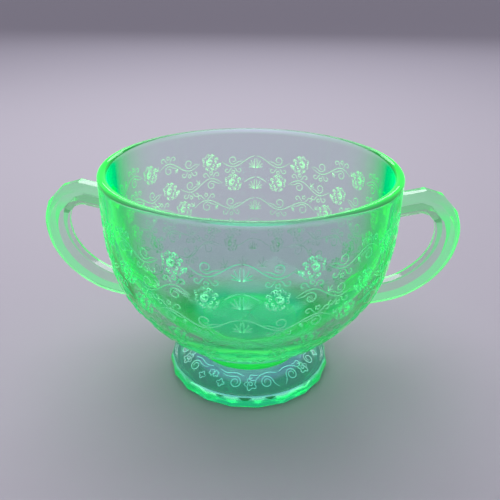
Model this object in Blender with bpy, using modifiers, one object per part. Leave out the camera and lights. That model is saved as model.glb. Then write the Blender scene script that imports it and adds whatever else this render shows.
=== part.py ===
"""Two-handled footed bowl in pressed uranium glass.

The origin is on the turning axis, at the surface that the foot stands on.
+Z is up and +X points along the right-hand handle. All sizes are in metres.
"""

import bmesh
import bpy
from math import cos, pi, radians, sin

# Driving dimensions
RIM_RADIUS = 0.0480        # outside of the bowl at the lip
RIM_HEIGHT = 0.0750        # top of the lip above the table
LIP_RADIUS = 0.0013        # rounding of the lip
BASE_RADIUS = 0.0190       # flat seat under the bowl
BASE_HEIGHT = 0.0112       # height of that seat
FLOOR_HEIGHT = 0.0165      # inside floor of the bowl
COLLAR_RADIUS = 0.0190
COLLAR_WAIST = 0.0183
COLLAR_BOTTOM = 0.0086
FOOT_HEIGHT = 0.0083
FOOT_RADIUS = 0.0290       # over the corners of the faceted edge
FOOT_BLANK = 0.0294        # turned foot before its flats are cut
FOOT_FLATS = 20
FOOT_HOLLOW = 0.0049       # depth of the hollow under the foot
FOOT_REST = 0.0236         # inner radius of the ring it stands on
PRISM_HEIGHT = 0.0500      # tall enough to pass the whole foot
HANDLE_WIDTH = 0.0086
HANDLE_DEPTH = 0.0074
HANDLE_BEVEL = 0.0023
JOINT_GAP = 0.0003         # clearance between neighbouring solids

ROUND_STEPS = 60           # facets round a turned piece, three to each flat of the foot
LIP_STEPS = 6
COLLAR_STEPS = 2
WALL_STEPS = 2             # steps between neighbouring points of the bowl's section
SWEEP_STEPS = 2            # steps between neighbouring points of the handle's sweep
SHARP_ANGLE = radians(32)
MERGE_DISTANCE = 0.00001

# Bowl's outer belly, radius and height from the seat up to the lip
BELLY_OUTSIDE = [
    (BASE_RADIUS, BASE_HEIGHT),
    (0.0260, 0.0159),
    (0.0327, 0.0222),
    (0.0385, 0.0291),
    (0.0430, 0.0362),
    (0.0459, 0.0440),
    (0.0474, 0.0530),
    (0.0479, 0.0630),
    (RIM_RADIUS, RIM_HEIGHT - LIP_RADIUS),
]

# Bowl's inside, from the lip down to the middle of its floor
BELLY_INSIDE = [
    (RIM_RADIUS - 2 * LIP_RADIUS, RIM_HEIGHT - LIP_RADIUS),
    (0.0451, 0.0630),
    (0.0444, 0.0532),
    (0.0427, 0.0448),
    (0.0396, 0.0372),
    (0.0350, 0.0304),
    (0.0286, 0.0244),
    (0.0208, 0.0197),
    (0.0115, 0.0172),
    (0.0, FLOOR_HEIGHT),
]

# Foot's upper side, from the collar over the raised ring line to the edge
FOOT_TOP = [
    (COLLAR_RADIUS, FOOT_HEIGHT),
    (0.0198, 0.0079),
    (0.0232, 0.0060),
    (0.0262, 0.0040),
    (0.0268, 0.0038),
    (0.0272, 0.0040),
    (0.0277, 0.0037),
    (0.0282, 0.0029),
    (FOOT_BLANK, 0.0016),
]

# Foot's underside, from the ring it stands on up into the hollow
FOOT_UNDER = [
    (FOOT_REST, 0.0),
    (0.0226, 0.0011),
    (0.0196, 0.0036),
    (0.0180, 0.0046),
    (0.0165, FOOT_HOLLOW),
]

# Handle's centre line in the XZ plane, from inside the upper wall round to the lower wall
HANDLE_ARM = [
    (0.0440, 0.0615),
    (0.0560, 0.0643),
    (0.0601, 0.0630),
    (0.0638, 0.0593),
]
HANDLE_SWEEP = [
    (0.0652, 0.0548),
    (0.0651, 0.0500),
    (0.0637, 0.0448),
    (0.0600, 0.0390),
    (0.0545, 0.0342),
    (0.0482, 0.0311),
    (0.0360, 0.0282),
]


def clear_scene():
    """Remove whatever the scene holds."""
    for obj in list(bpy.data.objects):
        bpy.data.objects.remove(obj, do_unlink=True)


def make_collection(name):
    """Return a new collection linked to the scene."""
    collection = bpy.data.collections.new(name)
    bpy.context.scene.collection.children.link(collection)
    return collection


def uranium_glass(name, color):
    """Return a glossy glass material of one tint."""
    material = bpy.data.materials.new(name)
    material.use_nodes = True
    shader = material.node_tree.nodes["Principled BSDF"]
    shader.inputs["Base Color"].default_value = (*color, 1.0)
    shader.inputs["Roughness"].default_value = 0.05
    shader.inputs["Metallic"].default_value = 0.0
    shader.inputs["Transmission Weight"].default_value = 0.9
    shader.inputs["IOR"].default_value = 1.52
    material.diffuse_color = (*color, 1.0)
    return material


def smooth_points(points, steps):
    """Return points on a Catmull-Rom curve through the given ones, ends included."""
    ends = [points[0]] + list(points) + [points[-1]]
    result = []
    for i in range(1, len(ends) - 2):
        before, start, stop, after = ends[i - 1:i + 3]
        for k in range(steps):
            t = k / steps
            result.append(tuple(
                0.5 * (2 * q + (r - p) * t + (2 * p - 5 * q + 4 * r - s) * t ** 2
                       + (3 * q - p - 3 * r + s) * t ** 3)
                for p, q, r, s in zip(before, start, stop, after)
            ))
    result.append(tuple(points[-1]))
    return result


def profile_object(name, profile, collection):
    """Turn a profile of (radius, height) points about the Z axis into a closed body."""
    mesh = bpy.data.meshes.new(name)
    work = bmesh.new()
    verts = [work.verts.new((radius, 0.0, height)) for radius, height in profile]
    for first, second in zip(verts, verts[1:]):
        work.edges.new((first, second))
    work.to_mesh(mesh)
    work.free()
    obj = bpy.data.objects.new(name, mesh)
    collection.objects.link(obj)
    screw = obj.modifiers.new("turn", "SCREW")
    screw.axis = "Z"
    screw.steps = ROUND_STEPS
    screw.render_steps = ROUND_STEPS
    screw.use_merge_vertices = True
    screw.merge_threshold = MERGE_DISTANCE
    screw.use_smooth_shade = True
    return obj


def hide_cutter(obj):
    """Mark an object as a cutter that is left out of the finished piece."""
    obj.hide_render = True
    obj.display_type = "WIRE"


def add_boolean(obj, cutter, operation):
    """Cut or intersect a piece with another solid."""
    boolean = obj.modifiers.new(cutter.name, "BOOLEAN")
    boolean.operation = operation
    boolean.solver = "EXACT"
    boolean.object = cutter


def finish_piece(obj, material):
    """Give a piece its material."""
    obj.data.materials.clear()
    obj.data.materials.append(material)


def lip_arc():
    """Points over the rounded lip, from its inner side to its outer side."""
    centre_radius = RIM_RADIUS - LIP_RADIUS
    centre_height = RIM_HEIGHT - LIP_RADIUS
    return [
        (centre_radius - LIP_RADIUS * cos(pi * k / LIP_STEPS),
         centre_height + LIP_RADIUS * sin(pi * k / LIP_STEPS))
        for k in range(1, LIP_STEPS)
    ]


def bowl_profile():
    """Closed half-section of the bowl: inside, lip and outside, from floor to seat."""
    inside = smooth_points(BELLY_INSIDE, WALL_STEPS)
    outside = smooth_points(BELLY_OUTSIDE, WALL_STEPS)
    inside.reverse()
    outside.reverse()
    return inside + lip_arc() + outside + [(0.0, BASE_HEIGHT)]


def make_bowl(collection, material):
    """Make the bowl, thin at the lip and thick towards its floor."""
    bowl = profile_object("bowl", bowl_profile(), collection)
    finish_piece(bowl, material)
    return bowl


def make_collar(collection, material):
    """Make the short waisted collar between the bowl and the foot."""
    top = BASE_HEIGHT - JOINT_GAP
    side = smooth_points([
        (COLLAR_RADIUS, top),
        (COLLAR_WAIST, (top + COLLAR_BOTTOM) / 2),
        (COLLAR_RADIUS, COLLAR_BOTTOM),
    ], COLLAR_STEPS)
    profile = [(0.0, top)] + side + [(0.0, COLLAR_BOTTOM)]
    collar = profile_object("collar", profile, collection)
    finish_piece(collar, material)
    return collar


def make_foot(collection, cutters, material):
    """Make the flared foot, hollow underneath, with flats round its edge."""
    profile = [(0.0, FOOT_HEIGHT)] + FOOT_TOP + [(FOOT_BLANK, 0.0)]
    profile += FOOT_UNDER + [(0.0, FOOT_HOLLOW)]
    foot = profile_object("foot", profile, collection)
    bpy.ops.mesh.primitive_cylinder_add(
        vertices=FOOT_FLATS, radius=FOOT_RADIUS, depth=PRISM_HEIGHT, end_fill_type="NGON",
    )
    prism = bpy.context.object
    prism.name = "foot_flats"
    cutters.objects.link(prism)
    for other in list(prism.users_collection):
        if other is not cutters:
            other.objects.unlink(prism)
    hide_cutter(prism)
    add_boolean(foot, prism, "INTERSECT")
    finish_piece(foot, material)
    return foot


def grown_bowl(cutters):
    """Solid of the bowl's outside, grown by the joint gap, that trims the handles' ends."""
    outside = smooth_points(BELLY_OUTSIDE, WALL_STEPS)
    outside.reverse()
    side = [(radius + JOINT_GAP, height) for radius, height in outside]
    profile = [(0.0, RIM_HEIGHT), (RIM_RADIUS + JOINT_GAP, RIM_HEIGHT)] + side
    profile.append((0.0, BASE_HEIGHT))
    cutter = profile_object("bowl_trim", profile, cutters)
    hide_cutter(cutter)
    return cutter


def section_curve(cutters):
    """Eight-sided section of the handle, as a closed flat curve."""
    half_depth = HANDLE_DEPTH / 2
    half_width = HANDLE_WIDTH / 2
    quarter = [(half_depth, half_width - HANDLE_BEVEL), (half_depth - HANDLE_BEVEL, half_width)]
    half = quarter + [(-x, y) for x, y in reversed(quarter)]
    corners = half + [(-x, -y) for x, y in half]
    data = bpy.data.curves.new("handle_section", "CURVE")
    data.dimensions = "2D"
    spline = data.splines.new("POLY")
    spline.points.add(len(corners) - 1)
    for point, (x, y) in zip(spline.points, corners):
        point.co = (x, y, 0.0, 1.0)
    spline.use_cyclic_u = True
    obj = bpy.data.objects.new("handle_section", data)
    cutters.objects.link(obj)
    hide_cutter(obj)
    return obj


def handle_route():
    """Handle's centre line: a faceted shoulder and a curved sweep back to the bowl."""
    return HANDLE_ARM + smooth_points(HANDLE_SWEEP, SWEEP_STEPS)


def handle_mesh(section, collection, name, side):
    """Sweep the section along the route on one side and return it as a welded mesh object."""
    data = bpy.data.curves.new(name + "_route", "CURVE")
    data.dimensions = "3D"
    data.twist_mode = "Z_UP"
    data.bevel_mode = "OBJECT"
    data.bevel_object = section
    data.use_fill_caps = True
    route = handle_route()
    spline = data.splines.new("POLY")
    spline.points.add(len(route) - 1)
    for point, (x, z) in zip(spline.points, route):
        point.co = (side * x, z, 0.0, 1.0)
    curve = bpy.data.objects.new(name + "_route", data)
    collection.objects.link(curve)
    curve.rotation_euler = (pi / 2, 0.0, 0.0)
    bpy.context.view_layer.update()
    graph = bpy.context.evaluated_depsgraph_get()
    mesh = bpy.data.meshes.new_from_object(curve.evaluated_get(graph))
    work = bmesh.new()
    work.from_mesh(mesh)
    bmesh.ops.remove_doubles(work, verts=work.verts, dist=MERGE_DISTANCE)
    bmesh.ops.recalc_face_normals(work, faces=work.faces)
    work.to_mesh(mesh)
    work.free()
    mesh.name = name
    obj = bpy.data.objects.new(name, mesh)
    obj.matrix_world = curve.matrix_world
    collection.objects.link(obj)
    bpy.data.objects.remove(curve, do_unlink=True)
    return obj


def make_handles(collection, cutters, material):
    """Make the two ear handles, trimmed to the bowl's outside."""
    section = section_curve(cutters)
    trim = grown_bowl(cutters)
    handles = []
    for name, side in (("handle_left", -1), ("handle_right", 1)):
        handle = handle_mesh(section, collection, name, side)
        add_boolean(handle, trim, "DIFFERENCE")
        finish_piece(handle, material)
        handles.append(handle)
    return handles


def shade(pieces):
    """Shade the round pieces smooth and keep their real edges sharp."""
    for piece in pieces:
        piece.data.shade_smooth()
        piece.data.set_sharp_from_angle(angle=SHARP_ANGLE)


def main():
    """Build every piece of the dish."""
    clear_scene()
    dish = make_collection("uranium_glass_dish")
    cutters = make_collection("cutters")
    pieces = [
        make_bowl(dish, uranium_glass("bowl_glass", (0.20, 0.85, 0.35))),
        make_collar(dish, uranium_glass("collar_glass", (0.05, 0.90, 0.25))),
        make_foot(dish, cutters, uranium_glass("foot_glass", (0.12, 0.75, 0.40))),
    ]
    pieces += make_handles(dish, cutters, uranium_glass("handle_glass", (0.45, 0.85, 0.60)))
    shade(pieces)


main()
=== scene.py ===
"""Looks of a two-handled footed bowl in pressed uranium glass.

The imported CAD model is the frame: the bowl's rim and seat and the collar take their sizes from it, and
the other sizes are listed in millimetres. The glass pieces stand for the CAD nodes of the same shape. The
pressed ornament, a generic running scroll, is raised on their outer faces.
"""

from math import acos, atan2, cos, hypot, pi, radians, sin
from random import Random

import bmesh
import bpy
from mathutils import Euler, Matrix, Vector


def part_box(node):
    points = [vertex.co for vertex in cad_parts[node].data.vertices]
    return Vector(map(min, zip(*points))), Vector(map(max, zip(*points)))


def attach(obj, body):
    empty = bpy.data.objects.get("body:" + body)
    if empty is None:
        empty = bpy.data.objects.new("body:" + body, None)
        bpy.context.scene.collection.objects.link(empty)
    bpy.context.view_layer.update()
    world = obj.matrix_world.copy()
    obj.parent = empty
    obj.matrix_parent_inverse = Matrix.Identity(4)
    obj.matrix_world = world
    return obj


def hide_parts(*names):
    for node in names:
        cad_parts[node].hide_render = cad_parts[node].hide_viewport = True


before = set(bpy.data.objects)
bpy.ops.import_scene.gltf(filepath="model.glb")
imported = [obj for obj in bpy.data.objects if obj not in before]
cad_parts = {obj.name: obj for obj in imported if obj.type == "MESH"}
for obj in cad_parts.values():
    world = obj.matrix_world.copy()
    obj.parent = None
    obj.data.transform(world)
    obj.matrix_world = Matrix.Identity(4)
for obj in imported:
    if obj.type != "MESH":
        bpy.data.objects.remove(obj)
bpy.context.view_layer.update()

MM = 0.001

# ---------------------------------------------------------------- sizes, from the frame

bowl_low, bowl_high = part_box("bowl")
collar_low, collar_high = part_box("collar")

RIM_RADIUS = bowl_high[0]
RIM_HEIGHT = bowl_high[2]
SEAT_HEIGHT = bowl_low[2]
COLLAR_BOTTOM = collar_low[2]
COLLAR_RADIUS = collar_high[0]

LIP_RADIUS = 1.45 * MM
CAD_GAP = 0.3 * MM         # gap between neighbouring CAD solids
CLEARANCE = 0.02 * MM      # hairline between neighbouring glass pieces
RELIEF_GAP = 0.02          # millimetres between the ornament's flat back and the face it is on

# Bowl's outer belly in millimetres, radius and height, from the seat up to just under the lip
BELLY_OUTSIDE = [
    (19.0, 11.2), (26.0, 15.9), (32.7, 22.2), (38.5, 29.1), (43.0, 36.2),
    (45.9, 44.0), (47.35, 53.0), (47.8, 63.0), (47.95, 73.5),
]

# Bowl's inside in millimetres, from just under the lip down to the middle of the floor
BELLY_INSIDE = [
    (45.1, 73.5), (44.85, 63.0), (44.2, 53.2), (42.5, 44.8), (39.4, 37.2), (34.8, 30.4),
    (28.4, 24.4), (20.6, 19.7), (11.5, 17.2), (0.0, 16.5),
]

SEAT_LEVEL = BELLY_OUTSIDE[0][1]
LIP_LEVEL = BELLY_OUTSIDE[-1][1]

ROUND_STEPS = 240


# ---------------------------------------------------------------- small geometry helpers

def smooth_points(points, steps):
    """Return points on a Catmull-Rom curve through the given ones, ends included."""
    ends = [points[0]] + list(points) + [points[-1]]
    result = []
    for i in range(1, len(ends) - 2):
        before, start, stop, after = ends[i - 1:i + 3]
        for k in range(steps):
            t = k / steps
            result.append(tuple(
                0.5 * (2 * q + (r - p) * t + (2 * p - 5 * q + 4 * r - s) * t ** 2
                       + (3 * q - p - 3 * r + s) * t ** 3)
                for p, q, r, s in zip(before, start, stop, after)
            ))
    result.append(tuple(points[-1]))
    return result


def to_metres(points):
    """Return millimetre pairs as metre pairs."""
    return [(a * MM, b * MM) for a, b in points]


def mesh_object(name, work, sharp_degrees=40):
    """Turn a bmesh into a smooth-shaded object with its normals facing out."""
    bmesh.ops.recalc_face_normals(work, faces=work.faces)
    mesh = bpy.data.meshes.new(name)
    work.to_mesh(mesh)
    work.free()
    mesh.shade_smooth()
    mesh.set_sharp_from_angle(angle=radians(sharp_degrees))
    obj = bpy.data.objects.new(name, mesh)
    bpy.context.scene.collection.objects.link(obj)
    return obj


def lathe(profile, steps=ROUND_STEPS, reshape=None):
    """Turn (radius, height) points about Z. The first and last point may lie on the axis.

    reshape(point) may move each vertex of the turned body.
    """
    work = bmesh.new()
    rings = []
    for radius, height in profile:
        if radius < 1e-6:
            rings.append([work.verts.new((0.0, 0.0, height))])
            continue
        ring = []
        for i in range(steps):
            angle = 2 * pi * i / steps
            point = Vector((radius * sin(angle), -radius * cos(angle), height))
            ring.append(work.verts.new(reshape(point) if reshape else point))
        rings.append(ring)
    for upper, lower in zip(rings, rings[1:]):
        for i in range(steps):
            j = (i + 1) % steps
            if len(upper) == 1:
                work.faces.new((upper[0], lower[i], lower[j]))
            elif len(lower) == 1:
                work.faces.new((upper[i], lower[0], upper[j]))
            else:
                work.faces.new((upper[i], lower[i], lower[j], upper[j]))
    return work


# ---------------------------------------------------------------- materials

# Painted glow: the green light of uranium glass under a UV lamp, with no such lamp in the scene
GLOW_GREEN = (0.0, 1.0, 0.13)


def new_nodes(name):
    """Return a new material, its node tree and its output node."""
    material = bpy.data.materials.new(name)
    material.use_nodes = True
    tree = material.node_tree
    tree.nodes.clear()
    output = tree.nodes.new("ShaderNodeOutputMaterial")
    return material, tree, output


def math_node(tree, operation, first, second=None):
    """Add a math node whose inputs are sockets or numbers, and return its result."""
    node = tree.nodes.new("ShaderNodeMath")
    node.operation = operation
    for socket, value in zip(node.inputs, (first, second)):
        if value is None:
            continue
        if isinstance(value, (int, float)):
            socket.default_value = value
        else:
            tree.links.new(value, socket)
    return node.outputs[0]


def vector_node(tree, operation, first, second=None):
    """Add a vector math node whose inputs are sockets or triples, and return its result."""
    node = tree.nodes.new("ShaderNodeVectorMath")
    node.operation = operation
    for socket, value in zip(node.inputs, (first, second)):
        if value is None:
            continue
        if isinstance(value, tuple):
            socket.default_value = value
        else:
            tree.links.new(value, socket)
    return node.outputs["Value" if operation == "DOT_PRODUCT" else "Vector"]


def color_mix(tree, factor, first, second):
    """Mix two colours, each a triple or a socket, by a factor socket and return the result."""
    node = tree.nodes.new("ShaderNodeMix")
    node.data_type = "RGBA"
    for name, color in (("A", first), ("B", second)):
        if isinstance(color, tuple):
            node.inputs[name].default_value = (*color, 1.0)
        else:
            tree.links.new(color, node.inputs[name])
    tree.links.new(factor, node.inputs["Factor"])
    return node.outputs["Result"]


def fill_volume(tree, output, glow, density):
    """Fill a closed piece with glass that takes red and blue out of what passes and gives off a painted
    green glow.
    """
    light = tree.nodes.new("ShaderNodeEmission")
    light.inputs["Color"].default_value = (*GLOW_GREEN, 1.0)
    light.inputs["Strength"].default_value = glow
    absorb = tree.nodes.new("ShaderNodeVolumeAbsorption")
    absorb.inputs["Color"].default_value = (0.15, 1.0, 0.35, 1.0)
    absorb.inputs["Density"].default_value = density
    both = tree.nodes.new("ShaderNodeAddShader")
    tree.links.new(light.outputs[0], both.inputs[0])
    tree.links.new(absorb.outputs[0], both.inputs[1])
    tree.links.new(both.outputs[0], output.inputs["Volume"])


def map_range(tree, value, from_low, from_high, to_low, to_high):
    """Add a smooth map-range node and return its result."""
    node = tree.nodes.new("ShaderNodeMapRange")
    node.interpolation_type = "SMOOTHSTEP"
    for socket, number in zip(node.inputs[1:5], (from_low, from_high, to_low, to_high)):
        socket.default_value = number
    tree.links.new(value, node.inputs[0])
    return node.outputs[0]


def object_point(tree):
    """Return the object coordinates and the node that splits them into X, Y and Z."""
    coords = tree.nodes.new("ShaderNodeTexCoord")
    split = tree.nodes.new("ShaderNodeSeparateXYZ")
    tree.links.new(coords.outputs["Object"], split.inputs[0])
    return coords, split.outputs


def edge_facing(tree, normal=None):
    """Return how far the face, or a given normal, is turned away: 0 is flat on and 1 is edge on."""
    weight = tree.nodes.new("ShaderNodeLayerWeight")
    weight.inputs["Blend"].default_value = 0.5
    if normal:
        tree.links.new(normal, weight.inputs["Normal"])
    return weight.outputs["Facing"]


def waviness(tree, point, shader, scale, distance):
    """Bump a shader with the faint waviness of pressed glass."""
    noise = tree.nodes.new("ShaderNodeTexNoise")
    noise.inputs["Scale"].default_value = scale
    noise.inputs["Detail"].default_value = 1.5
    tree.links.new(point, noise.inputs["Vector"])
    bump = tree.nodes.new("ShaderNodeBump")
    bump.inputs["Strength"].default_value = 1.0
    bump.inputs["Distance"].default_value = distance
    tree.links.new(noise.outputs["Fac"], bump.inputs["Height"])
    tree.links.new(bump.outputs["Normal"], shader.inputs["Normal"])


def glass_shader(tree, roughness, ior=1.5):
    """Add a clear glass shader and return it."""
    shader = tree.nodes.new("ShaderNodeBsdfPrincipled")
    shader.inputs["Transmission Weight"].default_value = 1.0
    shader.inputs["IOR"].default_value = ior
    shader.inputs["Roughness"].default_value = roughness
    return shader


def bowl_glass():
    """Glass of the bowl: faint at its wall, vivid green along its sides and its lip with a painted green
    glow, deep in its bottom, with a painted lilac highlight on the lip's front and back and a painted teal
    sheen in the middle of its floor.
    """
    material, tree, output = new_nodes("bowl_uranium")
    coords, place = object_point(tree)
    shader = glass_shader(tree, 0.03)
    steep = map_range(tree, edge_facing(tree), 0.25, 0.60, 0.0, 1.0)
    low = map_range(tree, place["Z"], 14 * MM, 19 * MM, 1.0, 0.0)
    bottom = math_node(tree, "MULTIPLY", low, steep)
    lower = map_range(tree, place["Z"], 16 * MM, 26 * MM, 1.0, 0.0)
    # Painted highlight: pale lilac light on the lip at its front and back, fading towards its sides, which
    # get a painted green glow instead
    lip = map_range(tree, place["Z"], 73.0 * MM, 74.4 * MM, 0.0, 1.0)
    across = math_node(tree, "DIVIDE", math_node(tree, "ABSOLUTE", place["X"]), RIM_RADIUS)
    aside = math_node(tree, "POWER", across, 1.6)
    lip_painted_highlight = math_node(tree, "MULTIPLY", lip, math_node(tree, "SUBTRACT", 1.0, aside))

    radial = vector_node(tree, "MULTIPLY", coords.outputs["Object"], (1.0, 1.0, 0.0))
    radius_squared = vector_node(tree, "DOT_PRODUCT", radial, radial)
    # Painted sheen: teal light in the middle of the floor
    middle = map_range(tree, radius_squared, (18 * MM) ** 2, (23 * MM) ** 2, 1.0, 0.0)
    outward = vector_node(tree, "NORMALIZE", radial)
    # Edge-on faces and the lower wall: a deeper green, partly the glass's tint and partly a painted green
    # glow
    facing = math_node(tree, "MINIMUM", edge_facing(tree), edge_facing(tree, outward))
    thick = math_node(tree, "ADD", facing, math_node(tree, "MULTIPLY", lower, 0.35))

    deep = map_range(tree, thick, 0.26, 0.66, 0.0, 1.0)
    wall = color_mix(tree, deep, (0.81, 0.86, 0.91), (0.0, 0.82, 0.14))
    tree.links.new(color_mix(tree, bottom, wall, (0.0, 0.58, 0.30)), shader.inputs["Base Color"])
    shader.inputs["Specular Tint"].default_value = (0.30, 0.85, 0.60, 1.0)
    shader.inputs["Specular IOR Level"].default_value = 0.25

    # Painted light: a green glow, a pale lilac highlight on the lip and a teal sheen in the middle of the
    # floor
    hue = color_mix(tree, lip_painted_highlight, GLOW_GREEN, (0.65, 0.58, 1.0))
    hue = color_mix(tree, middle, hue, (0.06, 0.72, 0.75))
    tree.links.new(hue, shader.inputs["Emission Color"])
    # Strengths of the painted light: edge-on glow, lower wall, lip's sides, lip's highlight, floor's sheen,
    # bottom
    glows = (
        (math_node(tree, "POWER", facing, 3.5), 0.7),
        (lower, 0.02),
        (math_node(tree, "MULTIPLY", lip, aside), 0.08),
        (lip_painted_highlight, 0.22),
        (middle, 0.10),
        (bottom, 0.02),
    )
    strength = 0.0
    for amount, glow in glows:
        strength = math_node(tree, "ADD", math_node(tree, "MULTIPLY", amount, glow), strength)
    tree.links.new(strength, shader.inputs["Emission Strength"])
    haze = map_range(tree, place["Z"], 14 * MM, 24 * MM, 0.30, 0.03)
    tree.links.new(haze, shader.inputs["Roughness"])
    waviness(tree, coords.outputs["Object"], shader, 70.0, 0.00012)
    tree.links.new(shader.outputs[0], output.inputs["Surface"])
    fill_volume(tree, output, 2.2, 26.0)
    return material


def collar_glass():
    """Glass of the collar: hazy and green through and through, with a painted green glow."""
    material, tree, output = new_nodes("collar_uranium")
    coords, place = object_point(tree)
    shader = glass_shader(tree, 0.3)
    tint = color_mix(tree, edge_facing(tree), (0.30, 0.90, 0.45), (0.0, 0.80, 0.12))
    tree.links.new(tint, shader.inputs["Base Color"])
    # Painted green glow
    shader.inputs["Emission Color"].default_value = (*GLOW_GREEN, 1.0)
    shader.inputs["Emission Strength"].default_value = 0.05
    waviness(tree, coords.outputs["Object"], shader, 70.0, 0.00012)
    tree.links.new(shader.outputs[0], output.inputs["Surface"])
    fill_volume(tree, output, 6.0, 60.0)
    return material


def foot_glass():
    """Glass of the foot: clear and a little blue on its top, which carries a faint painted blue light, and
    green along its scalloped edge, with a painted green glow there and where the face turns edge on.
    """
    material, tree, output = new_nodes("foot_uranium")
    coords, place = object_point(tree)
    shader = glass_shader(tree, 0.06)
    facing = edge_facing(tree)
    rim = map_range(tree, place["Z"], 2.6 * MM, 3.9 * MM, 1.0, 0.0)
    # Greener where the face turns edge on: the glass's tint, and partly a painted green glow
    turned = map_range(tree, facing, 0.5, 0.95, 0.0, 1.0)
    top = color_mix(tree, turned, (0.92, 0.96, 1.0), (0.05, 0.75, 0.2))
    tree.links.new(color_mix(tree, rim, top, (0.02, 0.72, 0.22)), shader.inputs["Base Color"])
    shader.inputs["Specular Tint"].default_value = (0.6, 0.9, 0.9, 1.0)
    # Painted light: a faint blue light on the top and a green glow on the edge, stronger where the face
    # turns edge on
    hue = color_mix(tree, rim, (0.30, 0.38, 0.90), GLOW_GREEN)
    tree.links.new(hue, shader.inputs["Emission Color"])
    strength = math_node(tree, "MULTIPLY", math_node(tree, "POWER", facing, 3.0), 0.12)
    base = map_range(tree, place["Z"], 2.6 * MM, 3.9 * MM, 0.03, 0.09)
    tree.links.new(math_node(tree, "ADD", strength, base), shader.inputs["Emission Strength"])
    waviness(tree, coords.outputs["Object"], shader, 70.0, 0.00012)
    tree.links.new(shader.outputs[0], output.inputs["Surface"])
    fill_volume(tree, output, 1.8, 24.0)
    return material


def handle_glass(name, side):
    """Handle glass: pale and clear towards the finger loop, where its lilac tint is a painted reflection,
    and mint green on its flats and outside, with a painted green glow there.
    """
    material, tree, output = new_nodes(name)
    coords, place = object_point(tree)
    shader = glass_shader(tree, 0.05)

    loop = (side * HANDLE_LOOP[0] * MM, 0.0, HANDLE_LOOP[1] * MM)
    away = vector_node(tree, "SUBTRACT", coords.outputs["Object"], loop)
    away = vector_node(tree, "NORMALIZE", vector_node(tree, "MULTIPLY", away, (1.0, 0.0, 1.0)))
    outward = vector_node(tree, "DOT_PRODUCT", away, coords.outputs["Normal"])

    # Facets that don't face the finger loop get a green tint and a painted green glow, less of both towards
    # the top of the arm; the pale lilac tint of the facets towards the loop is a painted reflection
    flats = map_range(tree, outward, -0.5, -0.1, 0.0, 1.0)
    arm = map_range(tree, place["Z"], 57 * MM, 63 * MM, 1.0, 0.3)
    green = math_node(tree, "MULTIPLY", flats, arm)
    tint = color_mix(tree, green, (0.84, 0.82, 0.90), (0.26, 0.90, 0.40))
    tree.links.new(tint, shader.inputs["Base Color"])
    # Painted light: green glow on the outer facets, a faint yellow-green light on those towards the loop
    hue = color_mix(tree, flats, (0.50, 0.85, 0.25), (0.06, 1.0, 0.20))
    tree.links.new(hue, shader.inputs["Emission Color"])
    strength = math_node(tree, "ADD", math_node(tree, "MULTIPLY", green, 0.19), 0.03)
    tree.links.new(strength, shader.inputs["Emission Strength"])
    waviness(tree, coords.outputs["Object"], shader, 90.0, 0.00015)
    tree.links.new(shader.outputs[0], output.inputs["Surface"])
    fill_volume(tree, output, 3.0, 25.0)
    return material


def relief_glass(name, front_glow, back_glow, low, high, turn=(0.15, 0.52)):
    """The pressed ornament: satin glass with a painted green glow, pale seen from inside the bowl and
    fainter from outside.

    Its glow is deep green below the height low and pale above high. Glow and tint deepen where the wall
    turns away, and turn says from how far to how far.
    """
    material, tree, output = new_nodes(name)
    coords, place = object_point(tree)
    shader = glass_shader(tree, 0.12, 1.42)

    radial = vector_node(tree, "MULTIPLY", coords.outputs["Object"], (1.0, 1.0, 0.0))
    radial = vector_node(tree, "NORMALIZE", radial)
    facing_us = map_range(tree, edge_facing(tree, radial), *turn, 1.0, 0.0)
    raised = map_range(tree, place["Z"], low, high, 0.0, 1.0)
    pale = math_node(tree, "MULTIPLY", raised, facing_us)
    outward = vector_node(tree, "DOT_PRODUCT", radial, coords.outputs["Normal"])
    inside = map_range(tree, outward, -0.15, 0.15, 1.0, 0.0)

    # Painted glow of the strokes, with its own colour and strength seen from outside and from inside the
    # bowl, where no lamp light reaches their flat backs
    from_outside = color_mix(tree, pale, (0.04, 1.0, 0.32), (0.20, 1.0, 0.85))
    from_inside = color_mix(tree, raised, (0.20, 1.0, 0.42), (0.48, 1.0, 0.46))
    hue = color_mix(tree, inside, from_outside, from_inside)
    tree.links.new(hue, shader.inputs["Emission Color"])
    front = math_node(tree, "MULTIPLY", math_node(tree, "ADD", pale, 0.8), front_glow)
    back = math_node(tree, "MULTIPLY", math_node(tree, "ADD", raised, 0.15), back_glow)
    front = math_node(tree, "MULTIPLY", front, math_node(tree, "SUBTRACT", 1.0, inside))
    back = math_node(tree, "MULTIPLY", back, inside)
    tree.links.new(math_node(tree, "ADD", front, back), shader.inputs["Emission Strength"])

    mottle = tree.nodes.new("ShaderNodeTexNoise")
    mottle.inputs["Scale"].default_value = 700.0
    tree.links.new(coords.outputs["Object"], mottle.inputs["Vector"])
    clear = color_mix(tree, mottle.outputs["Fac"], (0.96, 1.0, 0.97), (0.78, 0.86, 0.80))
    # Deep green where the wall turns away, partly standing in for the painted glow; the mottle is the
    # glass's own uneven tone
    tint = color_mix(tree, facing_us, (0.06, 0.92, 0.30), clear)
    tree.links.new(tint, shader.inputs["Base Color"])
    shader.inputs["Specular Tint"].default_value = (0.5, 0.95, 0.7, 1.0)
    waviness(tree, coords.outputs["Object"], shader, 1500.0, 0.00004)
    tree.links.new(shader.outputs[0], output.inputs["Surface"])
    return material


# ---------------------------------------------------------------- glass pieces

def lip_arc(steps=12):
    """Points over the rounded lip, from its inner side to its outer side."""
    centre = RIM_RADIUS - LIP_RADIUS - CLEARANCE
    height = RIM_HEIGHT - LIP_RADIUS
    return [
        (centre - LIP_RADIUS * cos(pi * k / steps), height + LIP_RADIUS * sin(pi * k / steps))
        for k in range(steps + 1)
    ]


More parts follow.
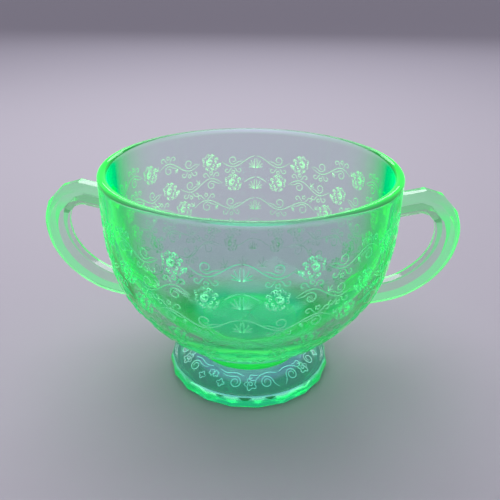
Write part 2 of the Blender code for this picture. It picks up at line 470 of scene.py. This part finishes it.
def make_bowl():
    """The bowl: thin at the lip, thick towards its floor."""
    inside = to_metres(smooth_points(BELLY_INSIDE, 8))
    outside = to_metres(smooth_points(BELLY_OUTSIDE, 8))
    inside.reverse()
    outside.reverse()
    seat = [(radius, SEAT_HEIGHT) for radius in (0.75 * COLLAR_RADIUS, 0.0)]
    return mesh_object("bowl_glass", lathe(inside[:-1] + lip_arc() + outside[1:] + seat))


def make_collar():
    """The short waist between the bowl and the foot."""
    top = SEAT_HEIGHT - CLEARANCE
    bottom = COLLAR_BOTTOM - CAD_GAP + CLEARANCE
    waist = COLLAR_RADIUS - 0.7 * MM
    side = smooth_points([
        (COLLAR_RADIUS, top),
        (waist, top - 0.9 * MM),
        (waist, bottom + 0.9 * MM),
        (COLLAR_RADIUS, bottom),
    ], 5)
    return mesh_object("collar_glass", lathe([(0.0, top)] + side + [(0.0, bottom)]))


FOOT_FLATS = 20
FLATS_START = 27.9 * MM    # radius at which the foot's round top begins to turn into flats
FLATS_BLEND = 0.9 * MM
SCALLOP = 0.006            # how far each flat is hollowed, as a share of the radius


def foot_outline(point):
    """Press the turned foot's edge into flats that meet in corners."""
    radius = Vector((point.x, point.y)).length
    if radius < FLATS_START:
        return point
    step = 2 * pi / FOOT_FLATS
    angle = atan2(point.x, -point.y)
    offset = (angle + step / 2) % step - step / 2
    flat = cos(step / 2) / cos(offset)
    scallop = 1 - SCALLOP * (cos(offset * FOOT_FLATS) * 0.5 + 0.5)
    factor = 1 - (1 - flat * scallop) * min(1.0, (radius - FLATS_START) / FLATS_BLEND)
    return Vector((point.x * factor, point.y * factor, point.z))


FOOT_HEIGHT = 8.28
FOOT_TOP = [
    (19.0, FOOT_HEIGHT), (19.8, 7.9), (23.2, 6.0), (26.0, 4.15), (26.6, 3.85), (27.0, 3.95),
    (27.4, 3.95), (27.9, 3.6), (28.6, 2.9), (28.95, 2.0), (28.98, 1.0), (28.85, 0.35), (28.4, 0.0),
]
FOOT_UNDER = [
    (23.8, 0.0), (22.6, 1.1), (19.6, 3.6), (18.0, 4.6), (16.5, 4.9), (8.0, 4.9), (0.0, 4.9),
]


def make_foot():
    """The flared foot: a raised ring line, a scalloped edge of flats and a hollow underside."""
    top = [(0.0, FOOT_HEIGHT), (10.0, FOOT_HEIGHT)] + smooth_points(FOOT_TOP, 4)
    work = lathe(to_metres(top + FOOT_UNDER), reshape=foot_outline)
    return mesh_object("foot_glass", work, 25)


HANDLE_ARM = [(44.0, 61.5), (56.0, 64.25), (60.1, 63.0), (63.7, 59.3)]
HANDLE_SWEEP = [
    (63.7, 59.3), (65.1, 54.8), (65.0, 50.0), (63.6, 44.8), (59.9, 39.0), (54.4, 34.2),
    (48.2, 31.1), (36.0, 28.2),
]
HANDLE_HALF_DEPTH = 3.7
HANDLE_HALF_WIDTH = 4.3
HANDLE_BEVEL = 2.3
HANDLE_EDGE = 0.22
HANDLE_SHARP = 24               # degrees above which an edge between flats stays sharp
HANDLE_LOOP = (50.0, 47.0)      # middle of the finger loop


def handle_section():
    """Eight flats with softly rounded corners, as (depth, width) in millimetres."""
    depth, width, bevel = HANDLE_HALF_DEPTH, HANDLE_HALF_WIDTH, HANDLE_BEVEL
    quarter = [(depth, width - bevel), (depth - bevel, width)]
    half = quarter + [(-x, y) for x, y in reversed(quarter)]
    corners = [Vector(c) for c in half + [(-x, -y) for x, y in half]]
    rounded = []
    for i, corner in enumerate(corners):
        before = (corners[i - 1] - corner).normalized()
        after = (corners[(i + 1) % len(corners)] - corner).normalized()
        rounded.append(corner + HANDLE_EDGE * before)
        rounded.append(corner + 0.22 * HANDLE_EDGE * (before + after))
        rounded.append(corner + HANDLE_EDGE * after)
    return rounded


def make_handle(name, side):
    """A faceted ear handle: angular at its shoulder, then one long bend down to the bowl."""
    section = handle_section()
    path = [Vector(p) for p in HANDLE_ARM[:-1] + smooth_points(HANDLE_SWEEP, 4)]
    work = bmesh.new()
    rings = []
    for i, spot in enumerate(path):
        before = (spot - path[i - 1]).normalized() if i else None
        after = (path[i + 1] - spot).normalized() if i < len(path) - 1 else before
        along = ((before or after) + after).normalized()
        stretch = 1 / along.dot(after)
        out = Vector((along.y, -along.x)) * stretch
        ring = []
        for depth, width in section:
            place = spot - out * depth
            ring.append(work.verts.new((side * place.x * MM, width * MM, place.y * MM)))
        rings.append(ring)
    count = len(section)
    for first, second in zip(rings, rings[1:]):
        for i in range(count):
            j = (i + 1) % count
            work.faces.new((first[i], second[i], second[j], first[j]))
    work.faces.new(rings[0])
    work.faces.new(rings[-1])
    return mesh_object(name, work, HANDLE_SHARP)


def make_trim():
    """Solid of the bowl's outside, a hairline larger, that trims the handles' ends."""
    side = [(r + 0.03, z) for r, z in smooth_points(BELLY_OUTSIDE, 8)]
    side.reverse()
    profile = [(0.0, LIP_LEVEL)] + side + [(0.0, SEAT_LEVEL)]
    return mesh_object("handle_trim", lathe(to_metres(profile)))


def trim_handles(handles):
    """Cut the handles' ends to the bowl's outside and drop the cutter."""
    trim = make_trim()
    for handle in handles:
        cut = handle.modifiers.new("trim", "BOOLEAN")
        cut.operation = "DIFFERENCE"
        cut.object = trim
        with bpy.context.temp_override(object=handle, active_object=handle):
            bpy.ops.object.modifier_apply(modifier=cut.name)
        handle.data.shade_smooth()
        handle.data.set_sharp_from_angle(angle=radians(HANDLE_SHARP))
        flats = handle.modifiers.new("flats", "WEIGHTED_NORMAL")
        flats.keep_sharp = True
    bpy.data.objects.remove(trim, do_unlink=True)


# ---------------------------------------------------------------- pressed ornament

class Surface:
    """A turned face that the ornament is wrapped onto, from a flat panel in millimetres."""

    def __init__(self, profile, wrap_radius):
        self.points = [Vector(p) for p in profile]
        self.wrap_radius = wrap_radius
        self.lengths = [0.0]
        for first, second in zip(self.points, self.points[1:]):
            self.lengths.append(self.lengths[-1] + (second - first).length)

    def at(self, distance):
        """Return (radius, height) and the outward normal at a distance along the profile."""
        distance = min(max(distance, 0.0), self.lengths[-1] - 1e-6)
        i = 0
        while self.lengths[i + 1] < distance:
            i += 1
        first, second = self.points[i], self.points[i + 1]
        share = (distance - self.lengths[i]) / (self.lengths[i + 1] - self.lengths[i])
        along = (second - first).normalized()
        return first.lerp(second, share), Vector((along.y, -along.x))

    def distance_at(self, height):
        """Return the distance along the profile at which it reaches a height."""
        for i, (first, second) in enumerate(zip(self.points, self.points[1:])):
            low, high = sorted((first.y, second.y))
            if low <= height <= high:
                return self.lengths[i] + (self.lengths[i + 1] - self.lengths[i]) * (
                    (height - first.y) / (second.y - first.y))
        return self.lengths[-1]

    def wrap(self, x, distance, lift, turn, mirror):
        """Return the 3-D point of a panel point, lifted off the face, in metres."""
        spot, normal = self.at(distance)
        radius = spot.x + normal.x * lift
        angle = turn + mirror * x / self.wrap_radius
        return Vector((radius * sin(angle), -radius * cos(angle), spot.y + normal.y * lift)) * MM


class Relief:
    """Collects raised strokes on one surface and turns them into one mesh object."""

    def __init__(self, surface, base_distance, copies):
        self.surface = surface
        self.base = base_distance
        self.copies = copies
        self.work = bmesh.new()

    def add(self, strokes, width, height, taper=0.35):
        """Raise strokes on every copy of the panel. taper is the share of the width at their ends."""
        for points in strokes:
            for turn, mirror in self.copies:
                self.ribbon([Vector(p) for p in points], width, height, taper, turn, mirror)

    def ribbon(self, spots, width, height, taper, turn, mirror):
        """Raise one stroke: a closed bar with a flat back and a domed front."""
        last = len(spots) - 1
        rings = []
        for i, spot in enumerate(spots):
            along = (spots[min(i + 1, last)] - spots[max(i - 1, 0)]).normalized()
            side = Vector((-along.y, along.x))
            swell = taper + (1 - taper) * min(1.0, 1.6 * sin(pi * (i + 0.5) / (last + 1)))
            ring = []
            for across, lift in ((-1.0, 0.0), (-0.5, height * swell), (0.5, height * swell), (1.0, 0.0)):
                place = spot + side * (width * swell * across / 2)
                ring.append(self.work.verts.new(self.surface.wrap(
                    place.x, self.base + place.y, RELIEF_GAP + lift, turn, mirror)))
            rings.append(ring)
        for first, second in zip(rings, rings[1:]):
            for i in range(4):
                j = (i + 1) % 4
                self.work.faces.new((first[i], first[j], second[j], second[i]))
        self.work.faces.new(rings[0])
        self.work.faces.new(rings[-1])

    def finish(self, name):
        """Return the strokes as one object."""
        return mesh_object(name, self.work, 75)


def polar(centre, reach, angle):
    """Return the point at a reach and an angle from a centre."""
    return centre[0] + reach * cos(angle), centre[1] + reach * sin(angle)


def volute(tail, centre, radius, sweep, steps=14):
    """Points of a curl: a stroke from its tail that runs into a spiral round a centre.

    sweep is in degrees, anticlockwise if positive, and the spiral closes to a third of its radius.
    """
    side = 1 if sweep > 0 else -1
    away = atan2(tail[1] - centre[1], tail[0] - centre[0])
    distance = max(hypot(tail[0] - centre[0], tail[1] - centre[1]), 1.05 * radius)
    begin = away + side * (acos(radius / distance) - 0.35)
    first = polar(centre, radius, begin)
    reach = 0.5 * hypot(tail[0] - first[0], tail[1] - first[1])
    bend = (first[0] + side * sin(begin) * reach, first[1] - side * cos(begin) * reach)
    points = []
    for k in range(8):
        t = k / 8
        points.append(tuple(
            (1 - t) ** 2 * a + 2 * t * (1 - t) * b + t ** 2 * c for a, b, c in zip(tail, bend, first)
        ))
    for k in range(steps + 1):
        t = k / steps
        points.append(polar(centre, radius * (1 - 0.66 * t), begin + radians(sweep) * t))
    return points


def spray(root, headings, lengths, curve=0.0, steps=5):
    """Strokes that fan out from a root, one for each length, between two headings in degrees."""
    strokes = []
    for k, length in enumerate(lengths):
        share = k / max(len(lengths) - 1, 1)
        angle = radians(headings[0] + (headings[1] - headings[0]) * share)
        points = [root]
        for i in range(steps):
            angle += curve * (share - 0.5) * 2 / steps
            points.append(polar(points[-1], length / steps, angle))
        strokes.append(points)
    return strokes


PETAL_PITCH = 1.05         # millimetres from petal to petal along a row
PETAL_STEP = 0.32
PETAL_HOOK = 42            # degrees that a petal turns at each step


def flower_head(centre, reaches):
    """A fringed bloom: small hooked petals in rows round a centre. Each row starts at its own reach."""
    chance = Random(5)
    strokes = []
    for reach in reaches:
        count = max(4, round(2 * pi * (reach + 0.8) / PETAL_PITCH))
        for k in range(count):
            angle = 2 * pi * (k + 0.5 + chance.uniform(-0.3, 0.3)) / count
            heading = angle + chance.uniform(-0.7, 0.7)
            turn = radians(chance.choice((-PETAL_HOOK, PETAL_HOOK)))
            spots = [polar((0.0, 0.0), reach + chance.uniform(-0.4, 0.4), angle)]
            for _ in range(6):
                spots.append(polar(spots[-1], PETAL_STEP, heading))
                heading += turn
            strokes.append([(centre[0] + x, centre[1] + y) for x, y in spots])
    return strokes


def wavy_ring(centre, radius, lobes, depth=0.22, steps=28):
    """A closed ring with rounded lobes."""
    points = []
    for k in range(steps + 1):
        angle = 2 * pi * k / steps
        points.append(polar(centre, radius * (1 + depth * cos(lobes * angle)), angle))
    return points


PANEL_WIDTH = 75.0         # millimetres along the wall, from the middle of the front to a handle
PANEL_MIDDLE = 50.0        # height on the bowl of the panel's level 0
WRAP_RADIUS = 47.6
BLOOM_ROWS = (0.4, 1.5, 2.7)
BLOOM_ROOM = 4.2           # radius that a bloom keeps clear of the stem

# Rows of running scroll down the wall, in millimetres: level, swing of the stem, half waves in a panel
SCROLL_ROWS = [(11.6, 2.2, 8), (2.8, 2.2, 8), (-6.0, 2.2, 7), (-14.8, 2.2, 7), (-23.4, 2.2, 6)]
HEM_LEVEL = -34.0
HEM_SPRAYS = 6


def waving_stem(level, swing, pitch, halves, blooms):
    """The stem of a row, broken where a bloom sits on it."""
    parts = [[]]
    for step in range(halves * 12 + 1):
        x = min(max(step * pitch / 12, 0.3), PANEL_WIDTH - 0.3)
        spot = (x, level + swing * cos(pi * x / pitch))
        if all(hypot(x - k * pitch, spot[1] - level) > BLOOM_ROOM for k in blooms):
            parts[-1].append(spot)
        elif parts[-1]:
            parts.append([])
    return [part for part in parts if len(part) > 2]


def hollow(x, level, crest, side, pitch):
    """A spiral in one hollow of the wave, with two curls and a small rosette over its crest."""
    strokes = [
        volute((x - 0.5 * pitch + 0.7, level), (x, level - 0.6 * side), 0.20 * pitch, -side * 430, 24),
        wavy_ring((x, crest + 2.2 * side), 0.65, 5, steps=20),
    ]
    for way in (-1, 1):
        centre = (x + way * 0.27 * pitch, crest + 1.4 * side)
        strokes.append(volute((x + way * 0.5, crest + 0.5 * side), centre, 1.1, -side * way * 300))
    leaf = (x + 0.5 * pitch + 0.5, level + 0.5 * side)
    strokes += spray(leaf, (side * 20, side * 85), (1.5, 2.1, 1.6), 0.4)
    return strokes


def palmette(x, level, side, way):
    """Half a palmette on a mirror line of the panel."""
    root = (x + way * 0.4, level - 2.8 * side)
    upright = 90 * side
    lean = way * side
    return spray(root, (upright - 68 * lean, upright - 10 * lean), (2.4, 3.1, 3.6, 3.9), 0.3 * lean)


def running_scroll(level, swing, halves, row):
    """Lines and petals of a row: a waving stem, a spiral or bloom in each hollow, palmettes at its ends."""
    pitch = PANEL_WIDTH / halves
    blooms = [k for k in range(1, halves) if (k + row) % 3 == 2]
    lines = waving_stem(level, swing, pitch, halves, blooms)
    petals = []
    for k in range(halves + 1):
        side = (-1) ** k
        if k in blooms:
            petals += flower_head((k * pitch, level), BLOOM_ROWS)
        elif 0 < k < halves:
            lines += hollow(k * pitch, level, level + side * swing, side, pitch)
        else:
            lines += palmette(k * pitch, level, side, -1 if k else 1)
    return lines, petals


def bowl_strokes():
    """Lines and petals of one quarter of the bowl's ornament."""
    lines, petals = [], []
    for row, (level, swing, halves) in enumerate(SCROLL_ROWS):
        row_lines, row_petals = running_scroll(level, swing, halves, row)
        lines += row_lines
        petals += row_petals
    for k in range(HEM_SPRAYS):
        root = ((k + 0.5) * PANEL_WIDTH / HEM_SPRAYS, HEM_LEVEL)
        lines += spray(root, (20, 160), (3.2, 4.0, 4.6, 4.0, 3.2), 0.5)
    return lines, petals


def bowl_reliefs():
    """Scrolls and blooms of the bowl, mirrored to both sides of the front and the back."""
    surface = Surface(smooth_points(BELLY_OUTSIDE, 6), WRAP_RADIUS)
    middle = surface.distance_at(PANEL_MIDDLE)
    copies = [(turn, mirror) for turn in (0.0, pi) for mirror in (1, -1)]
    lines, petals = bowl_strokes()
    scrolls = Relief(surface, middle, copies)
    scrolls.add(lines, 0.37, 0.15, 0.35)
    blooms = Relief(surface, middle, copies)
    blooms.add(petals, 0.31, 0.14, 0.5)
    return scrolls.finish("bowl_scrolls"), blooms.finish("bowl_blooms")


FOOT_COPIES = 6


def foot_relief():
    """Spirals, rosettes and a running stem round the top of the foot."""
    surface = Surface([(26.0, 4.15), (23.2, 6.0), (19.8, 7.9)], 23.0)
    copies = [(2 * pi * k / FOOT_COPIES, 1 if k % 2 else -1) for k in range(FOOT_COPIES)]
    relief = Relief(surface, 0.0, copies)
    relief.add([
        volute((-11.0, 0.9), (-7.2, 3.3), 2.2, -560, 30),
        volute((8.6, 5.6), (3.6, 3.4), 2.1, 520, 30),
        volute((-4.6, 6.2), (-2.0, 5.4), 0.9, -300),
        wavy_ring((-1.6, 2.9), 1.75, 5),
        volute((-0.6, 2.2), (-1.6, 3.0), 0.9, 420),
        wavy_ring((8.4, 2.2), 1.05, 4, 0.3),
        wavy_ring((11.2, 4.6), 1.0, 5),
        smooth_points([(-11.4, 5.8), (-8.6, 6.6), (-5.2, 5.9), (-3.4, 4.2)], 5),
        smooth_points([(0.6, 5.8), (3.6, 6.7), (7.4, 6.2), (10.4, 6.8)], 5),
    ], 0.27, 0.13, 0.5)
    return relief.finish("foot_scrolls")


# ---------------------------------------------------------------- stage

CAMERA_DISTANCE = 172.4 * MM
CAMERA_HEIGHT = 128.9 * MM
CAMERA_AZIMUTH = radians(2.4)
CAMERA_PITCH = radians(26.1)
CAMERA_ROLL = radians(0.63)
CAMERA_LENS = 40.3


def make_camera():
    """Camera a little above the lip, looking down into the bowl."""
    data = bpy.data.cameras.new("camera")
    data.lens = CAMERA_LENS
    data.sensor_width = 36.0
    data.clip_start = 0.01
    camera = bpy.data.objects.new("camera", data)
    bpy.context.scene.collection.objects.link(camera)
    camera.location = (CAMERA_DISTANCE * sin(CAMERA_AZIMUTH),
                       -CAMERA_DISTANCE * cos(CAMERA_AZIMUTH), CAMERA_HEIGHT)
    aim = Euler((pi / 2 - CAMERA_PITCH, 0.0, CAMERA_AZIMUTH)).to_matrix()
    camera.rotation_euler = (aim @ Matrix.Rotation(CAMERA_ROLL, 3, "Z")).to_euler()
    bpy.context.scene.camera = camera


def make_floor():
    """A plain pale floor."""
    work = bmesh.new()
    bmesh.ops.create_circle(work, cap_ends=True, segments=96, radius=9.0)
    floor = mesh_object("floor", work)
    floor.location.z = -0.02 * MM
    material, tree, output = new_nodes("pale_floor")
    shader = tree.nodes.new("ShaderNodeBsdfPrincipled")
    shader.inputs["Base Color"].default_value = (0.50, 0.47, 0.545, 1.0)
    shader.inputs["Roughness"].default_value = 0.7
    tree.links.new(shader.outputs[0], output.inputs["Surface"])
    floor.data.materials.append(material)


def area_light(name, place, size, power, color):
    """A soft area light that faces the bowl."""
    data = bpy.data.lights.new(name, "AREA")
    data.shape = "RECTANGLE"
    data.size, data.size_y = size
    data.energy = power
    data.color = color
    light = bpy.data.objects.new(name, data)
    bpy.context.scene.collection.objects.link(light)
    light.location = place
    aim = Vector((0.0, 0.0, 0.04)) - light.location
    light.rotation_euler = aim.to_track_quat("-Z", "Y").to_euler()


def make_light():
    """Plain soft studio light: an even room and two soft boxes."""
    world = bpy.data.worlds.new("studio")
    world.use_nodes = True
    background = world.node_tree.nodes["Background"]
    background.inputs["Color"].default_value = (0.80, 0.77, 0.88, 1.0)
    background.inputs["Strength"].default_value = 0.42
    bpy.context.scene.world = world
    area_light("overhead_box", (-0.10, 0.22, 0.62), (0.7, 0.7), 3.0, (1.0, 0.99, 0.97))
    area_light("back_strip", (0.0, 1.0, 0.62), (1.3, 0.22), 3.0, (0.95, 0.96, 1.0))


def set_color_management():
    """Keep the greens as vivid as the glass is."""
    scene = bpy.context.scene
    scene.view_settings.view_transform = "Standard"
    scene.cycles.max_bounces = 24
    scene.cycles.transmission_bounces = 20
    scene.cycles.glossy_bounces = 8
    scene.cycles.transparent_max_bounces = 16


# ---------------------------------------------------------------- assembly

def stand_in(piece, slot, *nodes):
    """Ride a piece on the body and hide the CAD nodes that it stands for; slot is not used."""
    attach(piece, "root")
    if nodes:
        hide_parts(*nodes)


def main():
    """Build every piece and the stage round it."""
    make_camera()
    make_floor()
    make_light()
    set_color_management()

    bowl = make_bowl()
    bowl.data.materials.append(bowl_glass())
    stand_in(bowl, "bowl_glass", "bowl")

    collar = make_collar()
    collar.data.materials.append(collar_glass())
    stand_in(collar, "collar_glass", "collar")

    foot = make_foot()
    foot.data.materials.append(foot_glass())
    stand_in(foot, "foot_glass", "foot")

    handles = [make_handle("handle_left_glass", -1), make_handle("handle_right_glass", 1)]
    trim_handles(handles)
    for handle, node, side in zip(handles, ("handle_left", "handle_right"), (-1, 1)):
        handle.data.materials.append(handle_glass(node + "_uranium", side))
        stand_in(handle, "handle_glass", node)

    # Satin glass of the ornament, with a painted glow
    satin = relief_glass("bowl_satin_painted_glow", 0.05, 0.22, 30 * MM, 50 * MM)
    for piece in bowl_reliefs():
        piece.data.materials.append(satin)
        stand_in(piece, "bowl_glass")
    foot_scrolls = foot_relief()
    # Satin glass of the foot's ornament, with a painted glow
    foot_satin_painted_glow = relief_glass("foot_satin_painted_glow", 0.12, 0.12, 0.0, 4 * MM, (0.98, 1.0))
    foot_scrolls.data.materials.append(foot_satin_painted_glow)
    stand_in(foot_scrolls, "foot_glass")


main()

bpy.context.view_layer.update()
